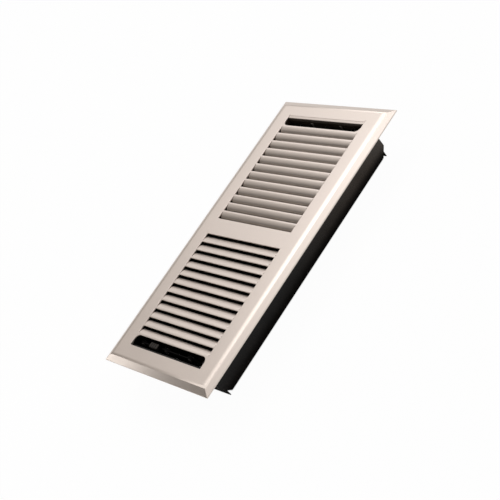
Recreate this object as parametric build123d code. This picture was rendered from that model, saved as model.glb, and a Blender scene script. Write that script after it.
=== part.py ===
from build123d import *
from math import atan2, cos, degrees, radians, sin
import os

# A drop-in floor register: a pressed louvered face plate on a sheet-steel box with a three-blade damper.
# Millimetres. The origin is the centre of the rim's underside, which lies on the floor. +Z is up,
# +Y runs along the register, and the lever is at the front, in the -Y end slot.

# Face plate
plate_length = 281.6
plate_width = 133.4
face_height = 4.6
lip_height = 1.0
bevel_run = 6.4
plate_sheet = 1.2
fold_radius = 4.0

# Louvers and end slots
louver_count = 12
center_bar = 16.3
rib_width = 1.95
louver_gap = 1.35
flap_angle = 55.0
flap_end_cut = 0.45
field_inset = 0.7
slot_corner_radius = 5.0
slot_flange_drop = 2.85
slot_fold_radius = 2.4
slot_end_inset = 1.7
slot_relief = 0.25
rear_lip_inset = 0.9
rear_lip_width = 2.1
rear_lip_run = 0.8
rear_lip_step = 0.5

# Box under the plate
side_overhang = 19.8
end_overhang = 16.8
box_sheet = 0.8
bend_radius = 0.4
top_flange = 8.0
end_plate_inset = 3.1
end_flange = 2.9
end_flange_setback = 0.15
end_flange_rise = 24.0
end_flange_relief = 1.6
skirt = 2.2
ear_drop = 2.1
corner_cut = 7.6
lug_spacing = 34.0
lug_width = 2.2
lug_height = 4.0
lug_depth = 0.8
lug_drop = 4.1

# Damper blades on their rods
blade_count = 3
blade_sheet = 0.8
blade_edge_gap = 0.8
blade_air_gap = 2.0
blade_end_gap = 0.8
rod_diameter = 3.2
trunnion_diameter = 2.4
trunnion_end = 0.9
rod_end_play = 0.4
running_clearance = 0.05
fixed_clearance = 0.02

# Cranks, link bar and grip
damper_travel = 90.0
lever_room = 5.6
crank_sheet = 1.0
crank_hub_radius = 4.2
crank_tip_radius = 3.3
slot_side_gap = 1.2
layer_gap = 0.4
link_sheet = 1.0
link_height = 6.0
link_wall_gap = 1.0
link_pin_diameter = 2.4
rivet_head_diameter = 4.4
rivet_head_height = 0.6
rivet_play = 0.1
tab_width = 8.0
grip_offset = 8.9
grip_length = 10.4
grip_height = 3.0
grip_recess = 1.3
grip_wall = 0.8
grip_cover = 0.5
grip_end_gap = 1.1
grip_corner_radius = 0.7
grip_groove_count = 3
grip_groove_width = 1.0
grip_groove_depth = 0.4

# Places worked out from the sizes above
half_length = plate_length / 2
half_width = plate_width / 2
face_underside = face_height - plate_sheet
box_half_width = half_width - side_overhang
box_half_length = half_length - end_overhang
wall_inside = box_half_width - box_sheet
field_half = wall_inside - field_inset
end_plate_outside = box_half_length - end_plate_inset
end_plate_inside = end_plate_outside - box_sheet
slot_outer = box_half_length - slot_end_inset
front_strip = slot_outer + slot_fold_radius + plate_sheet
rear_slot_outer = slot_outer - rear_lip_inset
rear_lip_foot = rear_slot_outer + rear_lip_width
rear_lip_bend = rear_lip_foot + rear_lip_run
rear_strip = rear_lip_bend + plate_sheet
crank_outside = end_plate_inside - lever_room
crank_inside = crank_outside - crank_sheet
slot_inner = crank_inside - slot_side_gap
link_inside = crank_outside + layer_gap
link_outside = link_inside + link_sheet

louver_pitch = (slot_inner - center_bar / 2) / louver_count
flap_run = louver_pitch - rib_width - louver_gap
flap_radius = flap_run / sin(radians(flap_angle))
flap_bottom = face_height - flap_radius + (flap_radius - plate_sheet) * cos(radians(flap_angle))

blade_pitch = 2 * wall_inside / blade_count
blade_width = blade_pitch - blade_edge_gap
pivot_z = flap_bottom - blade_air_gap - blade_width / 2
side_bottom = pivot_z - blade_width / 2 - skirt
end_bottom = side_bottom - ear_drop
front_plate_top = face_height - slot_flange_drop
rear_plate_top = face_underside - rear_lip_step
pivot_places = [(index - (blade_count - 1) / 2) * blade_pitch for index in range(blade_count)]

crank_lean = damper_travel / 2
crank_reach = (blade_pitch / 2 - link_height / 2 - link_wall_gap) / sin(radians(crank_lean))
pin_dx = -crank_reach * sin(radians(crank_lean))
pin_z = pivot_z + crank_reach * cos(radians(crank_lean))
grip_x = pin_dx - grip_offset
grip_top = face_height - grip_recess
tab_top = grip_top - (grip_height - link_sheet) / 2
grip_outside = end_plate_inside - grip_end_gap
tab_outside = grip_outside - grip_wall


def along_x(profile, half):
    """A YZ profile, drawn as (y, z), run both ways along X."""
    return extrude(Plane.YZ * profile, amount=half, both=True)


def along_y(profile, low, high):
    """An XZ profile, drawn as (x, z), run along Y from low to high."""
    return extrude(Plane.XZ.offset(-high) * profile, amount=high - low)


def rounded(points, corners):
    """A polygon with the corners named by their index rounded to a radius."""
    outline = make_face(Polyline(*points, close=True))
    for index, radius in corners.items():
        spot = Vector(*points[index])
        outline = fillet(outline.vertices().sort_by_distance(spot)[0], radius)
    return outline


def hipped_block(inset, foot, shoulder, top, run, fold):
    """A block inset from the plate's outline: upright walls, a bevel all round and a rounded fold on top."""
    outline = Rectangle(plate_width - 2 * inset, plate_length - 2 * inset)
    rise = top - shoulder
    walls = extrude(Pos(0, 0, foot) * outline, amount=shoulder - foot)
    crown = extrude(Pos(0, 0, shoulder) * outline, amount=rise, taper=degrees(atan2(run, rise)))
    block = walls + crown
    return fillet(block.edges().group_by(Axis.Z)[-1], fold)


def plate_outside():
    """The space up to the sheet's outside: an upright lip, a bevel and the flat face."""
    return hipped_block(0, 0, lip_height, face_height, bevel_run, fold_radius)


def plate_inside():
    """The space under the sheet, one thickness in from the outside, run on below the rim."""
    rise = face_height - lip_height
    climb = rise / bevel_run
    shoulder = lip_height + climb * plate_sheet - plate_sheet / cos(atan2(rise, bevel_run))
    run = (face_underside - shoulder) / climb
    return hipped_block(plate_sheet, -face_height, shoulder, face_underside, run, fold_radius - plate_sheet)


def louver_window(index):
    """The opening pressed out for one louver of the front half."""
    near_bar = -(center_bar / 2 + index * louver_pitch)
    length = louver_pitch - rib_width
    return Pos(0, near_bar - length / 2, face_height) * Box(2 * field_half, length, 3 * plate_sheet)


def louver_flap(index):
    """One louver of the front half: the sheet rolls down from its rib towards the middle of the plate."""
    root = -(center_bar / 2 + (index + 1) * louver_pitch) + rib_width
    top = CenterArc((0, 0), flap_radius, 90 - flap_angle, flap_angle)
    under = CenterArc((0, 0), flap_radius - plate_sheet, 90 - flap_angle, flap_angle)
    profile = make_face([top, Line(top @ 0, under @ 0), under, Line(top @ 1, under @ 1)])
    return along_x(Pos(root, face_height - flap_radius) * profile, field_half - flap_end_cut)


def end_slot(strip):
    """The front end slot, cut out to the strip at its outer edge, with rounded inner corners."""
    points = [
        (-field_half, -strip),
        (field_half, -strip),
        (field_half, -slot_inner),
        (-field_half, -slot_inner),
    ]
    outline = rounded(points, {2: slot_corner_radius, 3: slot_corner_radius})
    return extrude(Pos(0, 0, face_underside - plate_sheet) * outline, amount=3 * plate_sheet)


def front_flange():
    """The strip at the front slot's outer edge, folded down to stand on the end plate clear of the lever."""
    inner = -slot_outer
    outer = inner - plate_sheet
    points = [
        (inner, front_plate_top),
        (inner, face_height),
        (-front_strip, face_height),
        (-front_strip, face_underside),
        (outer, face_underside),
        (outer, front_plate_top),
    ]
    profile = rounded(points, {1: slot_fold_radius, 4: slot_fold_radius - plate_sheet})
    return along_x(profile, field_half - slot_relief)


def rear_lip():
    """The strip at the rear slot's outer edge, stepped down to lie on the end plate."""
    low = face_height - rear_lip_step
    top = [
        (rear_strip, face_height),
        (rear_lip_bend, face_height),
        (rear_lip_foot, low),
        (rear_slot_outer, low),
    ]
    under = [(y, z - plate_sheet) for y, z in reversed(top)]
    return along_x(make_face(Polyline(*top, *under, close=True)), field_half - slot_relief)


def face_plate():
    cuts = [louver_window(index) for index in range(louver_count)]
    folds = [louver_flap(index) for index in range(louver_count)]
    cuts += [mirror(cut, about=Plane.XZ) for cut in cuts]
    folds += [mirror(fold, about=Plane.XZ) for fold in folds]
    cuts += [end_slot(front_strip), mirror(end_slot(rear_strip), about=Plane.XZ)]
    folds += [front_flange(), rear_lip()]
    return plate_outside() - plate_inside() - cuts + folds


def side_panel():
    """The right side of the box: a wall with its lower corners cut off and a top flange under the plate."""
    edge = box_half_width + top_flange
    points = [
        (wall_inside, side_bottom),
        (box_half_width, side_bottom),
        (box_half_width, face_underside - box_sheet),
        (edge, face_underside - box_sheet),
        (edge, face_underside),
        (wall_inside, face_underside),
    ]
    section = rounded(points, {2: bend_radius, 5: box_sheet + bend_radius})
    panel = along_y(section, -box_half_length, box_half_length)
    low = side_bottom + corner_cut
    short = box_half_length - corner_cut
    outline = make_face(
        Polyline(
            (-box_half_length, face_underside),
            (-box_half_length, low),
            (-short, side_bottom),
            (short, side_bottom),
            (box_half_length, low),
            (box_half_length, face_underside),
            close=True,
        )
    )
    return panel & along_x(outline, edge)


def end_plate(top):
    """The front end of the box, with flanges turned out at its top and sides and holes for the rods."""
    inside = -end_plate_inside
    outside = -end_plate_outside
    edge = outside - end_flange
    points = [
        (inside, end_bottom),
        (inside, top),
        (edge, top),
        (edge, top - box_sheet),
        (outside, top - box_sheet),
        (outside, end_bottom),
    ]
    plate = along_x(rounded(points, {1: box_sheet + bend_radius, 4: bend_radius}), wall_inside)
    reach = end_plate_inset - end_flange_setback + box_sheet
    middle = top - box_sheet - end_flange_relief - end_flange_rise / 2
    spot = Pos(wall_inside - box_sheet / 2, inside - reach / 2, middle)
    flange = spot * Box(box_sheet, reach, end_flange_rise)
    hole = Circle(trunnion_diameter / 2 + running_clearance)
    holes = [along_y(Pos(place, pivot_z) * hole, outside, inside) for place in pivot_places]
    return plate + [flange, mirror(flange, about=Plane.YZ)] - holes


def rear_lugs():
    """Two small lugs pressed inwards near the top of the rear end plate."""
    spot = Pos(lug_spacing / 2, end_plate_inside - lug_depth / 2, face_height - lug_drop - lug_height / 2)
    lug = spot * Box(lug_width, lug_depth, lug_height)
    return [lug, mirror(lug, about=Plane.YZ)]


def damper_blade(place):
    """One upright blade: two flat wings and a half-round bead that holds the rod."""
    seat = rod_diameter / 2 + fixed_clearance
    half = blade_width / 2
    wing = Pos(0, (seat + half) / 2) * Rectangle(blade_sheet, half - seat)
    bead = Circle(seat + blade_sheet) - Circle(seat)
    back = Pos(-seat - blade_sheet, 0) * Rectangle(2 * (seat + blade_sheet), 4 * seat)
    profile = (bead & back) + wing + mirror(wing, about=Plane.XZ)
    front = blade_end_gap - crank_inside
    return along_y(Pos(place, pivot_z) * profile, front, end_plate_inside - blade_end_gap)


def damper_rod(place):
    """The rod of one blade, stepped down at both ends to turn in the end plates."""
    shoulder = end_plate_inside - rod_end_play
    tip = end_plate_outside + trunnion_end
    rod = along_y(Pos(place, pivot_z) * Circle(rod_diameter / 2), -shoulder, shoulder)
    return rod + along_y(Pos(place, pivot_z) * Circle(trunnion_diameter / 2), -tip, tip)


def damper_crank(place):
    """The arm fixed on the front end of one rod, with a hole for its link rivet."""
    tip = Pos(pin_dx, pin_z - pivot_z)
    arm = make_hull((Circle(crank_hub_radius) + tip * Circle(crank_tip_radius)).edges())
    arm -= Circle(rod_diameter / 2 + fixed_clearance)
    arm -= tip * Circle(link_pin_diameter / 2 + running_clearance)
    return along_y(Pos(place, pivot_z) * arm, -crank_outside, -crank_inside)


def link_bar():
    """The bar that turns the blades together, with a finger tab that rises into the slot and folds out."""
    span = pivot_places[-1] - pivot_places[0]
    bar = Pos(pin_dx, pin_z) * SlotCenterToCenter(span, link_height)
    for place in pivot_places:
        bar -= Pos(place + pin_dx, pin_z) * Circle(link_pin_diameter / 2 + fixed_clearance)
    points = [
        (-link_inside, pin_z),
        (-link_inside, tab_top),
        (-tab_outside, tab_top),
        (-tab_outside, tab_top - link_sheet),
        (-link_outside, tab_top - link_sheet),
        (-link_outside, pin_z),
    ]
    tab = along_x(rounded(points, {1: link_sheet + bend_radius / 2, 4: bend_radius / 2}), tab_width / 2)
    return along_y(bar, -link_outside, -link_inside) + Pos(grip_x, 0, 0) * tab


def link_rivet(place):
    """A rivet held in the link bar, on which one crank turns."""
    spot = Pos(place + pin_dx, pin_z)
    inner = rivet_play - crank_inside
    head = spot * Circle(rivet_head_diameter / 2)
    shank = along_y(spot * Circle(link_pin_diameter / 2), -link_outside, inner)
    heads = [
        along_y(head, inner, inner + rivet_head_height),
        along_y(head, -link_outside - rivet_head_height, -link_outside),
    ]
    crowns = [heads[0].edges().sort_by(Axis.Y)[-1], heads[1].edges().sort_by(Axis.Y)[0]]
    heads = [chamfer(crown, rivet_head_height / 2) for crown in crowns]
    return shank + heads


def lever_grip():
    """The plastic grip moulded over the finger tab, with grooves across its top."""
    inside = link_inside - grip_cover
    width = grip_outside - inside
    middle = Pos(grip_x, -(grip_outside + inside) / 2, grip_top - grip_height / 2)
    block = Box(grip_length, width, grip_height)
    block = fillet(block.edges().filter_by(Axis.Z) + block.edges().group_by(Axis.Z)[-1], grip_corner_radius)
    step = grip_length / (grip_groove_count + 1)
    for index in range(grip_groove_count):
        spot = (index - (grip_groove_count - 1) / 2) * step
        block -= Pos(spot, 0, grip_height / 2) * Box(grip_groove_width, width, 2 * grip_groove_depth)
    room = tab_width + 2 * fixed_clearance
    pocket_points = [
        (fixed_clearance - link_inside, grip_top - 2 * grip_height),
        (fixed_clearance - link_inside, tab_top + fixed_clearance),
        (-tab_outside - fixed_clearance, tab_top + fixed_clearance),
        (-tab_outside - fixed_clearance, tab_top - link_sheet - fixed_clearance),
        (-link_outside - fixed_clearance, tab_top - link_sheet - fixed_clearance),
        (-link_outside - fixed_clearance, grip_top - 2 * grip_height),
    ]
    pocket = along_x(rounded(pocket_points, {4: bend_radius / 2}), room / 2)
    return middle * block - Pos(grip_x, 0, 0) * pocket


def write(name, *shapes):
    solids = [Solid(shape.solid().wrapped) for shape in shapes]
    export_step(Compound(children=solids) if len(solids) > 1 else solids[0], f"parts/{name}.step")


os.makedirs("parts", exist_ok=True)
write("face_plate", face_plate())
right_panel = side_panel()
write("side_panel_right", right_panel)
write("side_panel_left", mirror(right_panel, about=Plane.YZ))
write("end_plate_front", end_plate(front_plate_top))
write("end_plate_rear", mirror(end_plate(rear_plate_top), about=Plane.XZ) + rear_lugs())
for side, place in zip(("left", "center", "right"), pivot_places):
    write(f"damper_blade_{side}", damper_blade(place))
    write(f"damper_rod_{side}", damper_rod(place))
    write(f"damper_crank_{side}", damper_crank(place))
write("link_bar", link_bar())
write("link_rivets", *[link_rivet(place) for place in pivot_places])
write("lever_grip", lever_grip())
print(f"louver pitch {louver_pitch:.3f}, pivot height {pivot_z:.3f}, crank reach {crank_reach:.3f}")
print(f"box {2 * box_half_width:.1f} by {2 * box_half_length:.1f}")
print(f"side panels down to {side_bottom:.2f}, end plates down to {end_bottom:.2f}")
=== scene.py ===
import math

import bmesh
import bpy
from mathutils import Matrix, Vector


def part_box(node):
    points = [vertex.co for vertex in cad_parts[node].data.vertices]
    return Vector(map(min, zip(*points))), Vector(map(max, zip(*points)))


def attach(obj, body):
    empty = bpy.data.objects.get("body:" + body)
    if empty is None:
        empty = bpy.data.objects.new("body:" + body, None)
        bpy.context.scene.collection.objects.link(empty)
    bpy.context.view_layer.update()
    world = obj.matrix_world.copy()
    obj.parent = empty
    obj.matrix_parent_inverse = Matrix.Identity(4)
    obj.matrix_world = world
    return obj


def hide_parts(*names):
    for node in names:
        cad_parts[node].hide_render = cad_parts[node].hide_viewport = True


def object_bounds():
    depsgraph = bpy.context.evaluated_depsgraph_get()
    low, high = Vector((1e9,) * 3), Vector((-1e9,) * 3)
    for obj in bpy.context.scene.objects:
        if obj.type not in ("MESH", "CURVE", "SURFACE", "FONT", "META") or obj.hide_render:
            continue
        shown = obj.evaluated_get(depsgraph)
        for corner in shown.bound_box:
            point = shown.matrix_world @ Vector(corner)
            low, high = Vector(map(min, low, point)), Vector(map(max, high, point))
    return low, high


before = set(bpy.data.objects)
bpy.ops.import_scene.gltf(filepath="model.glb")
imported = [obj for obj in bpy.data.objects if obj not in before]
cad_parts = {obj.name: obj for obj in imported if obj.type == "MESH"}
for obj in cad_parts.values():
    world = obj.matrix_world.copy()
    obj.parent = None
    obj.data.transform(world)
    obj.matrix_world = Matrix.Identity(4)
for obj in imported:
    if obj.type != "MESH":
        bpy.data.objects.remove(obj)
cadBox = [list(corner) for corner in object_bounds()]
print("frame loaded:", len(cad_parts), "nodes")


class Wire:
    # a node's output: plain maths on it adds Math nodes
    def __init__(self, finish, socket):
        self.finish = finish
        self.socket = socket

    def maths(self, operation, left, right):
        return self.finish.node("ShaderNodeMath", {"operation": operation}, {0: left, 1: right})

    def __add__(self, other):
        return self.maths("ADD", self, other)

    def __radd__(self, other):
        return self.maths("ADD", other, self)

    def __sub__(self, other):
        return self.maths("SUBTRACT", self, other)

    def __rsub__(self, other):
        return self.maths("SUBTRACT", other, self)

    def __mul__(self, other):
        return self.maths("MULTIPLY", self, other)

    def __rmul__(self, other):
        return self.maths("MULTIPLY", other, self)


class Finish:
    # the node tree of one material or of the world
    def __init__(self, owner):
        owner.use_nodes = True
        self.owner = owner
        self.tree = owner.node_tree
        self.tree.nodes.clear()

    def node(self, kind, settings=None, sockets=None, output=0):
        made = self.tree.nodes.new(kind)
        for name, value in (settings or {}).items():
            setattr(made, name, value)
        for key, value in (sockets or {}).items():
            if isinstance(value, Wire):
                self.tree.links.new(value.socket, made.inputs[key])
            else:
                made.inputs[key].default_value = value
        return Wire(self, made.outputs[output]) if made.outputs else None

    def place(self):
        return self.node("ShaderNodeTexCoord", output="Object")

    def noise(self, place, scale, detail=2.0):
        return self.node("ShaderNodeTexNoise", {}, {"Vector": place, "Scale": scale, "Detail": detail})

    def stretched(self, place, scale):
        return self.node("ShaderNodeVectorMath", {"operation": "MULTIPLY"}, {0: place, 1: scale})

    def toned(self, colour, tone):
        return self.node("ShaderNodeVectorMath", {"operation": "SCALE"}, {0: colour, "Scale": tone})

    def blended(self, share, first, second):
        return self.node("ShaderNodeMix", {"data_type": "RGBA"}, {0: share, 6: first, 7: second}, output=2)

    def ramped(self, value, low, high, first=0.0, last=1.0):
        return self.node(
            "ShaderNodeMapRange",
            {"interpolation_type": "SMOOTHSTEP"},
            {"Value": value, "From Min": low, "From Max": high, "To Min": first, "To Max": last},
        )

    def bumped(self, height, depth):
        return self.node("ShaderNodeBump", {}, {"Height": height, "Distance": depth})

    def surface(self, sockets):
        shader = self.node("ShaderNodeBsdfPrincipled", {}, sockets)
        self.node("ShaderNodeOutputMaterial", {}, {"Surface": shader})
        return self.owner


# Satin champagne paint with fine metal flake
champagne = {
    "colour": (0.74, 0.657, 0.595),
    "metallic": 0.85,
    "roughness": 0.36,
    "flakeScale": 3000.0,
    "flakeTone": 0.05,
    "flakeRough": 0.06,
    "cloudScale": 18.0,
    "cloudTone": 0.05,
    "cloudRough": 0.08,
    "peelScale": 800.0,
    "peelDepth": 0.00001,
}


def champagnePaint():
    finish = Finish(bpy.data.materials.new("champagnePaint"))
    place = finish.place()
    cells = finish.node(
        "ShaderNodeTexVoronoi", {}, {"Vector": place, "Scale": champagne["flakeScale"]}, output="Color"
    )
    flake = finish.node("ShaderNodeSeparateColor", {}, {0: cells}) - 0.5
    cloud = finish.noise(place, champagne["cloudScale"], detail=3.0) - 0.5
    peel = finish.noise(place, champagne["peelScale"])
    tone = 1 + flake * champagne["flakeTone"] + cloud * champagne["cloudTone"]
    rough = flake * champagne["flakeRough"] + cloud * champagne["cloudRough"]
    return finish.surface({
        "Base Color": finish.toned(champagne["colour"], tone),
        "Roughness": champagne["roughness"] + rough,
        "Metallic": champagne["metallic"],
        "Normal": finish.bumped(peel, champagne["peelDepth"]),
    })


# Black paint of the box, glossier towards its top and its rear end, where its colour is also painted lighter
# and browner as a painted sheen
blackCoat = {
    "colour": (0.0030, 0.0024, 0.0020),
    "rubColour": (0.014, 0.012, 0.010),
    "paintedSheenColour": (0.045, 0.034, 0.025),
    "roughness": 0.5,
    "specular": 0.06,
    "coat": (0.03, 0.45),  # base and gain, as in the cloud's pairs
    "coatRough": 0.36,
    "coatAndSheenRise": (-0.0315, -0.023),
    "coatAndSheenRun": (-0.04, 0.13),
    "coatFar": 0.45,
    "peelScale": 1300.0,
    "peelDepth": 0.00003,
    "peelTone": 1.8,
    "cloudScale": 35.0,
    "cloudRough": 0.16,
    "cloudCoat": (0.8, 0.4),
    "cloudPaintedSheen": (0.6, 0.8),
    "rubStretch": (60.0, 14.0, 60.0),
    "rubScale": 4.0,
    "rubEdge": (0.56, 0.78),
    "rubShare": 0.6,
    "rubRough": 0.08,
    "lugHighlightColour": (0.20, 0.18, 0.16),
    "lugDepth": (0.0004, 0.0007),
    "lugHighlightBase": 0.4,
}


def blackPaint(name, lugFront=None):
    finish = Finish(bpy.data.materials.new(name))
    place = finish.place()
    peel = finish.noise(place, blackCoat["peelScale"], detail=1.0)
    cloud = finish.noise(place, blackCoat["cloudScale"], detail=4.0)
    streak = finish.noise(finish.stretched(place, blackCoat["rubStretch"]), blackCoat["rubScale"], detail=5.0)
    rub = finish.ramped(streak, *blackCoat["rubEdge"]) * blackCoat["rubShare"]
    height = finish.node("ShaderNodeSeparateXYZ", {}, {0: place}, output="Z")
    length = finish.node("ShaderNodeSeparateXYZ", {}, {0: place}, output="Y")
    rise = finish.ramped(height, *blackCoat["coatAndSheenRise"])
    run = finish.ramped(length, *blackCoat["coatAndSheenRun"])
    speckle = 1 + (peel - 0.5) * blackCoat["peelTone"]
    base, gain = blackCoat["coat"]
    coat = (base + rise * gain) * (1 + run * blackCoat["coatFar"])
    base, gain = blackCoat["cloudCoat"]
    coat = coat * (base + cloud * gain) * speckle
    base, gain = blackCoat["cloudPaintedSheen"]
    # painted sheen: the colour lightens towards the top and the rear end, standing in for the lit floor
    # mirrored in the black
    paintedSheen = rise * run * (base + cloud * gain) * speckle
    worn = finish.blended(rub, blackCoat["colour"] + (1.0,), blackCoat["rubColour"] + (1.0,))
    colour = finish.blended(paintedSheen, worn, blackCoat["paintedSheenColour"] + (1.0,))
    if lugFront is not None:
        # painted highlight: the front faces of the lugs that stand out of the plate painted lighter
        lugHighlight = finish.ramped(length - lugFront, *blackCoat["lugDepth"], 1.0, 0.0)
        lugHighlight = lugHighlight * (blackCoat["lugHighlightBase"] + cloud)
        colour = finish.blended(lugHighlight, colour, blackCoat["lugHighlightColour"] + (1.0,))
    rough = (cloud - 0.5) * blackCoat["cloudRough"] + rub * blackCoat["rubRough"]
    return finish.surface({
        "Base Color": colour,
        "Roughness": blackCoat["roughness"] + rough,
        "Specular IOR Level": blackCoat["specular"],
        "Coat Weight": coat,
        "Coat Roughness": blackCoat["coatRough"],
        "Normal": finish.bumped(peel, blackCoat["peelDepth"]),
    })


# Flat black of the blades and the linkage inside it
mattCoat = {
    "colour": (0.0045, 0.0042, 0.004),
    "roughness": 0.75,
    "specular": 0.12,
    "grainScale": 900.0,
    "grainRough": 0.1,
    "grainDepth": 0.00003,
    "dustScale": 60.0,
    "dustTone": (0.6, 0.8),  # base and gain
    "dustRough": 0.2,
}


def mattBlack():
    finish = Finish(bpy.data.materials.new("mattBlack"))
    place = finish.place()
    grain = finish.noise(place, mattCoat["grainScale"], detail=3.0)
    dust = finish.noise(place, mattCoat["dustScale"], detail=5.0)
    base, gain = mattCoat["dustTone"]
    rough = (dust - 0.5) * mattCoat["dustRough"] + (grain - 0.5) * mattCoat["grainRough"]
    return finish.surface({
        "Base Color": finish.toned(mattCoat["colour"], base + dust * gain),
        "Roughness": mattCoat["roughness"] + rough,
        "Specular IOR Level": mattCoat["specular"],
        "Normal": finish.bumped(grain, mattCoat["grainDepth"]),
    })


# Blackened drawn steel of the rods
rodLook = {
    "colour": (0.035, 0.033, 0.031),
    "roughness": 0.5,
    "lineStretch": (900.0, 12.0, 900.0),
    "lineTone": (0.82, 0.24),  # base and gain
    "lineRough": 0.2,
    "lineDepth": 0.00001,
    "stainScale": 55.0,
    "stainTone": 0.3,
    "stainRough": 0.15,
}


def drawnSteel():
    finish = Finish(bpy.data.materials.new("drawnSteel"))
    place = finish.place()
    line = finish.noise(finish.stretched(place, rodLook["lineStretch"]), 1.0, detail=4.0)
    stain = finish.noise(place, rodLook["stainScale"], detail=4.0)
    base, gain = rodLook["lineTone"]
    tone = base + line * gain + (stain - 0.5) * rodLook["stainTone"]
    rough = (line - 0.5) * rodLook["lineRough"] + (stain - 0.5) * rodLook["stainRough"]
    return finish.surface({
        "Base Color": finish.toned(rodLook["colour"], tone),
        "Roughness": rodLook["roughness"] + rough,
        "Metallic": 1.0,
        "Normal": finish.bumped(line, rodLook["lineDepth"]),
    })


# Plated steel of the rivets
rivetLook = {
    "colour": (0.16, 0.155, 0.145),
    "roughness": 0.4,
    "stainScale": 420.0,
    "stainTone": (0.8, 0.4),  # base and gain
    "stainRough": 0.25,
    "grainScale": 3000.0,
    "grainDepth": 0.000008,
}


def platedSteel():
    finish = Finish(bpy.data.materials.new("platedSteel"))
    place = finish.place()
    stain = finish.noise(place, rivetLook["stainScale"], detail=4.0)
    grain = finish.noise(place, rivetLook["grainScale"])
    base, gain = rivetLook["stainTone"]
    return finish.surface({
        "Base Color": finish.toned(rivetLook["colour"], base + stain * gain),
        "Roughness": rivetLook["roughness"] + (stain - 0.5) * rivetLook["stainRough"],
        "Metallic": 1.0,
        "Normal": finish.bumped(grain, rivetLook["grainDepth"]),
    })


# Dark grey moulded plastic of the grip, with painted shade in its grooves
gripLook = {
    "colour": (0.026, 0.020, 0.0155),
    "grooveShadeRise": (-0.0004, -0.0001),
    "grooveShadeTone": 0.12,
    "roughness": 0.55,
    "specular": 0.3,
    "grainScale": 1400.0,
    "grainRough": 0.1,
    "grainDepth": 0.00003,
    "wearScale": 900.0,
    "wearTone": 0.5,
    "wearRough": 0.2,
}


def gripPlastic():
    finish = Finish(bpy.data.materials.new("gripPlastic"))
    place = finish.place()
    grain = finish.noise(place, gripLook["grainScale"], detail=3.0)
    wear = finish.noise(place, gripLook["wearScale"], detail=3.0)
    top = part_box("lever_grip")[1].z
    height = finish.node("ShaderNodeSeparateXYZ", {}, {0: place}, output="Z") - top
    # painted shade: the grip's colour darkens more than 0.1 mm below its top, in its grooves and down its
    # sides
    tone = finish.ramped(height, *gripLook["grooveShadeRise"], gripLook["grooveShadeTone"], 1.0)
    rough = (wear - 0.5) * gripLook["wearRough"] + (grain - 0.5) * gripLook["grainRough"]
    return finish.surface({
        "Base Color": finish.toned(gripLook["colour"], tone * (gripLook["wearTone"] + wear)),
        "Roughness": gripLook["roughness"] + rough,
        "Specular IOR Level": gripLook["specular"],
        "Normal": finish.bumped(grain, gripLook["grainDepth"]),
    })


class Sheet:
    # a skin of faces given by their corner points: points that meet are joined
    def __init__(self):
        self.points = []
        self.known = {}
        self.faces = []

    def point(self, spot):
        key = tuple(round(value, 7) for value in spot)
        if key not in self.known:
            self.known[key] = len(self.points)
            self.points.append(spot)
        return self.known[key]

    def face(self, spots):
        self.faces.append([self.point(spot) for spot in spots])

    def strip(self, left, right):
        # quads between two rows of points
        for index in range(len(left) - 1):
            self.face([left[index], right[index], right[index + 1], left[index + 1]])

    def mesh(self, name):
        made = bpy.data.meshes.new(name)
        made.from_pydata(self.points, [], self.faces)
        skin = bmesh.new()
        skin.from_mesh(made)
        bmesh.ops.recalc_face_normals(skin, faces=skin.faces)
        if max(skin.faces, key=lambda one: one.calc_area()).normal.z < 0:
            bmesh.ops.reverse_faces(skin, faces=skin.faces)
        skin.to_mesh(made)
        skin.free()
        made.shade_smooth()
        return made


# The pressed face plate: its sizes that the frame doesn't give, in metres
plate = {
    "sheet": 0.0012,
    "lipHeight": 0.0010,
    "bevelRun": {"side": 0.0064, "end": 0.0071},
    "foldRadius": {"side": 0.0115, "end": 0.0022},
    "foldSteps": 14,
    "louverCount": 12,
    "centerBar": 0.0163,
    "ribWidth": 0.0014,
    "louverGap": 0.00135,
    "flapRoot": math.radians(7),
    "flapLean": math.radians(22),
    "flapCurl": math.radians(36),
    "curlPower": 4,
    "flapEndCut": 0.00045,
    "flapSteps": 12,
    "fieldInset": 0.0007,
    "cornerRadius": 0.005,
    "cornerSteps": 8,
    "slotSideGap": 0.0012,
    "slotEndInset": {"front": 0.0014, "rear": 0.0017},
    "slotRelief": 0.00025,
    "lipInset": 0.0016,
    "lipWidth": 0.0019,
    "lipRun": 0.0010,
    "lipStep": 0.0002,
    "lipSlope": 0.13,
    "lipRound": 4,
    "edgeRound": 0.0003,
    "edgeSteps": 4,
}


def arcSteps(start, end, steps):
    return [start + (end - start) * index / steps for index in range(steps + 1)]


def rimProfile(top):
    # (side inset, end inset, height) from the foot of the lip over the bevel and its fold to the flat
    profile = [(0.0, 0.0, 0.0), (0.0, 0.0, plate["lipHeight"])]
    climbs = {name: math.atan2(top - plate["lipHeight"], run) for name, run in plate["bevelRun"].items()}
    for angle in arcSteps(climbs["side"], 0.0, plate["foldSteps"]):
        fall = plate["foldRadius"]["side"] * (1 - math.cos(angle))
        insets = []
        for name, climb in climbs.items():
            radius = plate["foldRadius"][name]
            flatInset = plate["bevelRun"][name] + radius * math.tan(climb / 2)
            lean = math.acos(max(1 - fall / radius, math.cos(climb)))
            below = fall - radius * (1 - math.cos(lean))
            insets.append(flatInset - radius * math.sin(lean) - below / math.tan(climb))
        profile.append((*insets, top - fall))
    return profile


def flapProfile(reach):
    # (run, drop) of a rolled fin: bent at its root, then nearly flat, and curled at its tip
    step = 1 / plate["flapSteps"]
    run, drop = 0.0, 0.0
    profile = [(run, drop)]
    for share in arcSteps(step / 2, 1 - step / 2, plate["flapSteps"] - 1):
        lean = plate["flapRoot"] + plate["flapLean"] * share + plate["flapCurl"] * share ** plate["curlPower"]
        run += reach * step
        drop += reach * step * math.tan(lean)
        profile.append((run, drop))
    return profile


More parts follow.
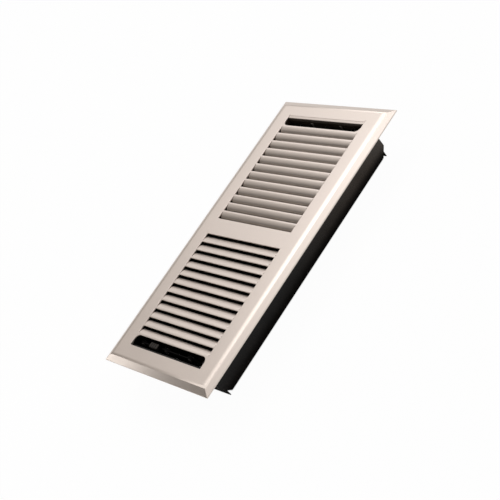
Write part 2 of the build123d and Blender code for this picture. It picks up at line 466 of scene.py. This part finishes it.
def facePlate():
    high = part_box("face_plate")[1]
    top = high.z
    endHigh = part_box("end_plate_front")[1]
    fieldHalf = endHigh.x - plate["fieldInset"]
    slotInner = -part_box("damper_crank_center")[1].y - plate["slotSideGap"]
    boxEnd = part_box("side_panel_right")[1].y
    frontStrip = boxEnd - plate["slotEndInset"]["front"]
    lipOuter = boxEnd - plate["slotEndInset"]["rear"] - plate["lipInset"]
    lipFoot = lipOuter + plate["lipWidth"]
    lipBend = lipFoot + plate["lipRun"]
    rearStrip = lipBend + plate["sheet"]
    pitch = (slotInner - plate["centerBar"] / 2) / plate["louverCount"]
    flapRun = pitch - plate["ribWidth"] - plate["louverGap"]
    flapHalf = fieldHalf - plate["flapEndCut"]
    lipHalf = fieldHalf - plate["slotRelief"]
    barHalf = plate["centerBar"] / 2
    cornerEnd = slotInner + plate["cornerRadius"]
    cornerX = fieldHalf - plate["cornerRadius"]
    ribEnds = [barHalf + (index + 1) * pitch for index in range(plate["louverCount"])]
    flap = flapProfile(flapRun)
    profile = rimProfile(top)
    flatX = high.x - profile[-1][0]
    flatY = high.y - profile[-1][1]
    skin = Sheet()

    # rows along the plain borders, counted outwards from the middle
    rows = [barHalf]
    for ribEnd in ribEnds:
        rows += [ribEnd - plate["ribWidth"], ribEnd]
    rows.append(cornerEnd)
    allRows = [-frontStrip] + [-row for row in reversed(rows)] + rows + [rearStrip]

    # the rim: mitred loops, the last of which carries the rows' ends
    loops = []
    for sideInset, endInset, height in profile:
        x, y = high.x - sideInset, high.y - endInset
        loops.append([(x, -y, height), (x, y, height), (-x, y, height), (-x, -y, height)])
    for outer, inner in zip(loops[:-2], loops[1:-1]):
        for index in range(4):
            after = (index + 1) % 4
            skin.face([outer[index], outer[after], inner[after], inner[index]])
    outer, inner = loops[-2], loops[-1]
    for index in range(4):
        after = (index + 1) % 4
        between = []
        if index == 0:
            between = [(flatX, row, top) for row in reversed(allRows)]
        if index == 2:
            between = [(-flatX, row, top) for row in allRows]
        skin.face([outer[index], outer[after], inner[after], *between, inner[index]])

    # side borders and the bar across the middle
    for side in (-1, 1):
        near = [(side * fieldHalf, row, top) for row in allRows]
        far = [(side * flatX, row, top) for row in allRows]
        skin.strip(near, far)
    skin.face([(x, y, top) for x, y in (
        (-fieldHalf, -barHalf), (fieldHalf, -barHalf), (fieldHalf, barHalf), (-fieldHalf, barHalf)
    )])

    for end in (-1, 1):
        for ribEnd in ribEnds:
            root = ribEnd - plate["ribWidth"]
            foot = [-fieldHalf, fieldHalf]
            if ribEnd == ribEnds[-1]:
                foot = [-fieldHalf, -cornerX, cornerX, fieldHalf]
            rib = [(x, end * ribEnd, top) for x in foot]
            rib += [(x, end * root, top) for x in (fieldHalf, flapHalf, -flapHalf, -fieldHalf)]
            skin.face(rib)
            roll = [(end * (root - run), top - drop) for run, drop in flap]
            skin.strip([(-flapHalf, y, z) for y, z in roll], [(flapHalf, y, z) for y, z in roll])

        # the rounded inner corners of the end slot
        for side in (-1, 1):
            web = [(side * fieldHalf, end * slotInner, top)]
            for angle in arcSteps(math.pi / 2, 0.0, plate["cornerSteps"]):
                x = cornerX + plate["cornerRadius"] * math.cos(angle)
                y = cornerEnd - plate["cornerRadius"] * math.sin(angle)
                web.append((side * x, end * y, top))
            skin.face(web)

        # the end border
        strip = frontStrip if end < 0 else rearStrip
        inner = [fieldHalf, -fieldHalf] if end < 0 else [fieldHalf, lipHalf, -lipHalf, -fieldHalf]
        border = [(-flatX, end * flatY, top), (flatX, end * flatY, top)]
        border += [(x, end * strip, top) for x in (flatX, *inner, -flatX)]
        skin.face(border)

        # the slot's outer edge: folded down in front, stepped down at the rear
        fold, half = [(strip, top)], fieldHalf
        if end < 0:
            fold.append((strip, endHigh.z))
        else:
            half = lipHalf
            for share in arcSteps(0.0, 1.0, 2 * plate["lipRound"]):
                fall = share * share * (3 - 2 * share)
                fold.append((lipBend + (lipFoot - lipBend) * share, top - plate["lipStep"] * fall))
            fold.append((lipOuter, top - plate["lipStep"] - plate["lipSlope"] * plate["lipWidth"]))
        skin.strip([(-half, end * y, z) for y, z in fold], [(half, end * y, z) for y, z in fold])

    piece = bpy.data.objects.new("facePlate", skin.mesh("facePlate"))
    bpy.context.scene.collection.objects.link(piece)
    thicken = piece.modifiers.new("sheet", "SOLIDIFY")
    thicken.thickness = plate["sheet"]
    thicken.offset = -1.0
    thicken.use_even_offset = True
    return softened(piece, plate["edgeRound"], plate["edgeSteps"])


# How edges are rounded, and by how much on the CAD pieces
edges = {
    "angle": math.radians(35),
    "flatWeight": 100,
    "weld": 0.000001,
    "cadRound": 0.00013,
    "cadSteps": 2,
}


def softened(piece, width, segments):
    # edges rounded over, with flat faces kept flat in the shading
    soften = piece.modifiers.new("edges", "BEVEL")
    soften.width = width
    soften.segments = segments
    soften.limit_method = "ANGLE"
    soften.angle_limit = edges["angle"]
    soften.use_clamp_overlap = False
    even = piece.modifiers.new("shading", "WEIGHTED_NORMAL")
    even.weight = edges["flatWeight"]
    even.keep_sharp = False
    return piece


def eased(piece):
    # a CAD piece's sharp edges broken a little
    weld = piece.modifiers.new("weld", "WELD")
    weld.merge_threshold = edges["weld"]
    return softened(piece, edges["cadRound"], edges["cadSteps"])


def applied(piece):
    # the piece's modifiers worked into its mesh
    graph = bpy.context.evaluated_depsgraph_get()
    done = bpy.data.meshes.new_from_object(piece.evaluated_get(graph))
    piece.modifiers.clear()
    piece.data = done
    return piece


def dressed(piece, material):
    piece.data.materials.clear()
    piece.data.materials.append(material)
    return piece


face = dressed(applied(facePlate()), champagnePaint())
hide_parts("face_plate")
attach(face, "box")
print("face plate:", len(face.data.polygons), "faces")

# The CAD pieces keep their shape and get their finish, by the slot they have in the record
inside = mattBlack()
# the rear end plate's black, with a painted highlight on the front faces of its lugs
highlightedBlack = blackPaint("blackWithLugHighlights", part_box("end_plate_rear")[0].y)
finishes = {
    "black_paint": blackPaint("blackPaint"),
    "rod_steel": drawnSteel(),
    "rivet_steel": platedSteel(),
    "grip_plastic": gripPlastic(),
}
for name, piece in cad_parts.items():
    if name != "face_plate":
        eased(piece)
    slot = piece.data.materials[0].name
    if name.startswith(("damper_blade", "damper_crank", "link_bar")):
        dressed(piece, inside)
    elif name == "end_plate_rear":
        dressed(piece, highlightedBlack)
    elif slot in finishes:
        dressed(piece, finishes[slot])
print("finishes:", ", ".join(finishes))

# White floor, left in its own shade inside the box and mirrored darker under the rim
floorLook = {
    "size": 80.0,
    "colour": (0.94, 0.94, 0.94, 1.0),
    "glow": 0.97,
    "boxShade": {"left": (0.0465, 0.0485), "right": (0.0435, 0.0455), "ends": (0.1195, 0.1215)},
    "boxCorner": (0.1165, 0.1185),
    "boxCornerCut": 0.0045,
    "rimShade": {"left": (0.060, 0.090), "right": (0.060, 0.090), "ends": (0.134, 0.164)},
}


def clearOf(finish, shade):
    # 0 within the shade's reach, rising to 1 past it
    place = finish.place()
    across, along = (finish.node("ShaderNodeSeparateXYZ", {}, {0: place}, output=axis) for axis in "XY")
    along = finish.node("ShaderNodeMath", {"operation": "ABSOLUTE"}, {0: along})
    # the box's lower corners are cut off on the side in view
    cut = finish.ramped(along, *floorLook["boxCorner"], 0.0, floorLook["boxCornerCut"])
    within = finish.ramped(across + cut, *shade["right"], 1.0, 0.0)
    within = within * finish.ramped(0 - across, *shade["left"], 1.0, 0.0)
    return 1 - within * finish.ramped(along, *shade["ends"], 1.0, 0.0)


def floorPlane(height):
    half = floorLook["size"] / 2
    corners = [(-half, -half, 0), (half, -half, 0), (half, half, 0), (-half, half, 0)]
    made = bpy.data.meshes.new("floor")
    made.from_pydata(corners, [], [(0, 1, 2, 3)])
    piece = bpy.data.objects.new("floor", made)
    piece.location.z = height
    bpy.context.scene.collection.objects.link(piece)
    finish = Finish(bpy.data.materials.new("floorWhite"))
    # the camera and mirrored rays see the floor lifted to white, but for the shade in and round the register
    seen = finish.node("ShaderNodeLightPath", output="Is Camera Ray")
    seen = seen * clearOf(finish, floorLook["boxShade"])
    mirrored = finish.node("ShaderNodeLightPath", output="Is Glossy Ray")
    mirrored = mirrored * clearOf(finish, floorLook["rimShade"])
    matt = finish.node("ShaderNodeBsdfDiffuse", {}, {"Color": floorLook["colour"]})
    glow = finish.node("ShaderNodeEmission", {}, {"Strength": 1.0})
    share = (seen + mirrored) * floorLook["glow"]
    mixed = finish.node("ShaderNodeMixShader", {}, {0: share, 1: matt, 2: glow})
    finish.node("ShaderNodeOutputMaterial", {}, {"Surface": mixed})
    made.materials.append(finish.owner)


# Sky and room by direction: most pairs are where a change begins and ends
skyLook = {
    "colour": (0.99, 1.0, 1.03, 1.0),
    "strength": 1.62,
    "back": (0.06, 0.43),
    "side": (-1.0, -0.56),
    "fall": (-0.55, -0.15),
    "right": 0.745,
    "deep": (0.42, 0.75),
    "far": 0.38,
    "rise": (0.40, 0.64),
    "horizon": 0.17,
}
roomLook = {
    "colour": (1.0, 0.94, 0.885, 1.0),
    "strength": (0.035, 0.38),  # in front and behind
    "reach": (-0.45, 0.14),
    "skirt": 0.17,
    "skirtRise": (0.3, 0.55),
    "front": 0.65,
    "frontLeft": (-0.4, -0.1),
    "frontRight": (0.65, 0.9),
    "frontDepth": (-0.8, -0.4),
}


def studioWorld():
    # a broad soft sky overhead and behind, weaker towards the sides and the horizon, in a dim warm room
    # with a soft fill in front; the camera itself sees white
    world = bpy.data.worlds.new("studio")
    bpy.context.scene.world = world
    finish = Finish(world)
    direction = finish.node("ShaderNodeTexCoord", output="Generated")
    side, depth, height = (
        finish.node("ShaderNodeSeparateXYZ", {}, {0: direction}, output=axis) for axis in "XYZ"
    )
    spread = finish.ramped(side, *skyLook["side"]) * finish.ramped(depth, *skyLook["back"])
    right = finish.ramped(depth, *skyLook["deep"], skyLook["right"], skyLook["far"])
    spread = spread * (1 + finish.ramped(side, *skyLook["fall"]) * (right - 1))
    lift = finish.ramped(height, *skyLook["rise"], skyLook["horizon"], 1.0)
    strength = spread * lift * skyLook["strength"]
    sky = finish.node("ShaderNodeBackground", {}, {"Color": skyLook["colour"], "Strength": strength})
    reach = finish.ramped(depth, *roomLook["reach"])
    low, high = roomLook["strength"]
    skirt = (1 - reach) * finish.ramped(height, *roomLook["skirtRise"], roomLook["skirt"], 0.0)
    front = finish.ramped(depth, *roomLook["frontDepth"], roomLook["front"], 0.0)
    front = front * finish.ramped(side, *roomLook["frontLeft"])
    front = front * finish.ramped(side, *roomLook["frontRight"], 1.0, 0.0)
    dim = low + reach * (high - low) + skirt + front
    room = finish.node("ShaderNodeBackground", {}, {"Color": roomLook["colour"], "Strength": dim})
    both = finish.node("ShaderNodeAddShader", {}, {0: sky, 1: room})
    seen = finish.node("ShaderNodeLightPath", output="Is Camera Ray")
    white = finish.node("ShaderNodeBackground", {}, {"Color": (1.0, 1.0, 1.0, 1.0), "Strength": 1.0})
    mixed = finish.node("ShaderNodeMixShader", {}, {0: seen, 1: both, 2: white})
    finish.node("ShaderNodeOutputWorld", {}, {"Surface": mixed})


# Soft lamps: place, aim and size in metres, power in watts
lamps = {
    "softBox": {
        "place": (-0.35, 0.37, 1.15),
        "aim": (-0.35, 0.37, 0.0),
        "size": (0.35, 1.25),
        "power": 3.0,
    },
    "sideCard": {
        "place": (-0.208, -0.203, 0.084),
        "aim": (-0.06, -0.138, 0.0),
        "size": (0.06, 0.06),
        "power": 0.028,
    },
    "farCard": {
        "place": (0.20, 0.60, 0.87),
        "aim": (0.063, 0.13, 0.0),
        "size": (0.3, 0.3),
        "power": 0.22,
    },
}


def softLamp(name, place, aim, size, power):
    data = bpy.data.lights.new(name, "AREA")
    data.shape = "RECTANGLE"
    data.size, data.size_y = size
    data.energy = power
    lamp = bpy.data.objects.new(name, data)
    lamp.location = place
    lamp.rotation_euler = (Vector(place) - Vector(aim)).to_track_quat("Z", "Y").to_euler()
    bpy.context.scene.collection.objects.link(lamp)


# The photograph's view, in metres
view = {
    "eye": (0.7110, -0.3047, 0.5529),
    "right": (0.64936, 0.53269, -0.54275),
    "up": (-0.14466, 0.78718, 0.59952),
    "lens": 84.19,
    "sensor": 36.0,
}


def photoCamera():
    data = bpy.data.cameras.new("photoCamera")
    data.lens = view["lens"]
    data.sensor_width = view["sensor"]
    camera = bpy.data.objects.new("photoCamera", data)
    right, up = Vector(view["right"]), Vector(view["up"])
    turn = Matrix((right, up, right.cross(up))).transposed()
    camera.matrix_world = Matrix.Translation(view["eye"]) @ turn.to_4x4()
    bpy.context.scene.collection.objects.link(camera)
    bpy.context.scene.camera = camera


floorPlane(cadBox[0][2])
studioWorld()
for name, lamp in lamps.items():
    softLamp(name, **lamp)
photoCamera()
bpy.context.scene.view_settings.view_transform = "Standard"
print("stage, light and camera set")
